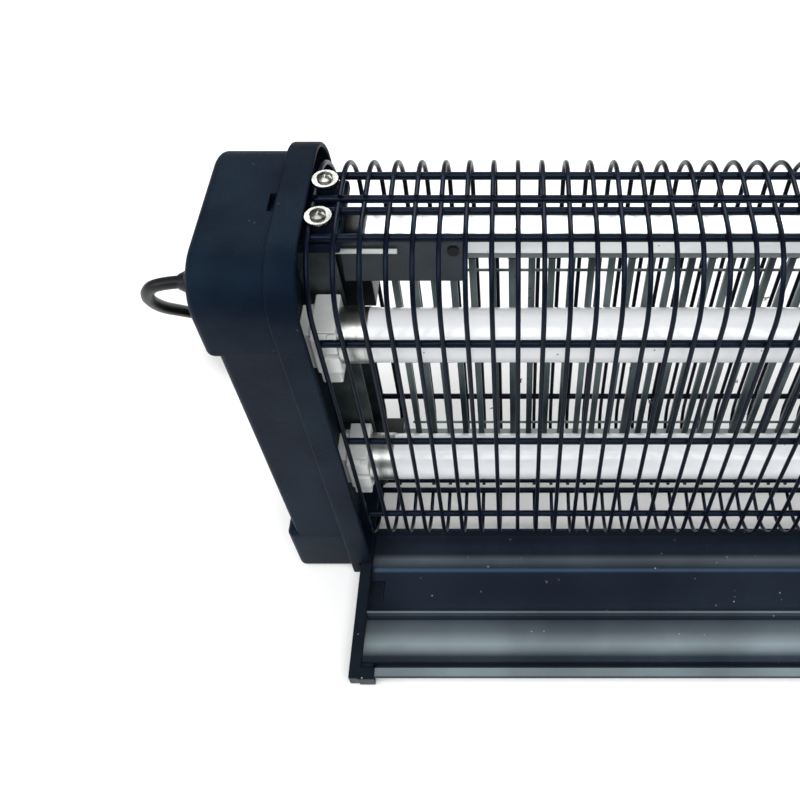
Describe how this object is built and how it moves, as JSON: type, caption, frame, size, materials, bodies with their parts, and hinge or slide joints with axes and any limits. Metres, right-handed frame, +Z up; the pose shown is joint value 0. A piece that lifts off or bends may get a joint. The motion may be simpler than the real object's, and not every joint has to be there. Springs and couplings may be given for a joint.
{
  "type": "electric insect killer",
  "caption": "Electric insect killer: wire cage over lamps and an electrified rod grid between two moulded end housings, with a slide-out catch tray and a mains cord.",
  "frame": {"origin": "on the floor, at the middle of the length and of the footprint with the tray pulled out; the housing's own middle plane is y = +0.0351", "axes": "+X along the length towards the housing without the cord, -Y to the front where the tray comes out, +Z up"},
  "size_m": [0.6444, 0.3118, 0.2565],
  "materials": {
    "housing": "fine-grained moulded",
    "guard_wire": "gloss coated",
    "nickel": "nickel plated",
    "black_screw": "blackened",
    "rail": "bright rolled",
    "strip": "smooth",
    "rod_steel": "dull galvanised",
    "bracket_steel": "dull galvanised",
    "shield": "satin",
    "black_plastic": "smooth",
    "lead": "smooth",
    "lamp_glass": "phosphor coated inside",
    "lamp_cap": "brushed",
    "brass": "plain",
    "holder": "smooth",
    "tray": "powder coated",
    "tray_cap": "moulded",
    "core": "varnished",
    "ballast": "plain",
    "starter": "plain",
    "cord": "satin",
    "plug": "moulded"
  },
  "bodies": {
    "unit": {"left_end_frame": "housing", "right_end_frame": "housing", "left_cover": "housing", "right_cover": "housing", "front_guard": "guard_wire", "rear_guard": "guard_wire", "guard_screws": "nickel", "guard_washers": "nickel", "top_rail": "rail", "bottom_rail": "rail", "upper_rod_strip": "strip", "lower_rod_strip": "strip", "live_rods": "rod_steel", "earth_rods": "rod_steel", "rod_caps": "black_plastic", "upper_bus_wire": "rod_steel", "lower_bus_wire": "rod_steel", "left_bracket": "bracket_steel", "right_bracket": "bracket_steel", "upper_insulators": "black_plastic", "lower_insulators": "black_plastic", "terminal_shield": "shield", "shield_screw": "black_screw", "live_lead": "lead", "upper_lamp_tube": "lamp_glass", "upper_lamp_caps": "lamp_cap", "upper_lamp_pins": "brass", "upper_rotors": "holder", "lower_lamp_tube": "lamp_glass", "lower_lamp_caps": "lamp_cap", "lower_lamp_pins": "brass", "lower_rotors": "holder", "upper_left_lampholder": "holder", "upper_right_lampholder": "holder", "lower_left_lampholder": "holder", "lower_right_lampholder": "holder", "left_cover_screws": "black_screw", "right_cover_screws": "black_screw", "transformer": "core", "ballasts": "ballast", "starters": "starter", "cord_gland": "plug", "power_cord": "cord", "cord_coil": "cord", "cord_tie": "plug", "plug_body": "plug", "plug_pins": "brass"},
    "tray": {"tray_channel": "tray", "tray_left_cap": "tray_cap", "tray_right_cap": "tray_cap"}
  },
  "joints": [
    {"name": "tray_slide", "type": "slide", "parent": "unit", "child": "tray", "axis": [0, -1, 0], "range_m": [-0.0745, 0.01]}
  ]
}
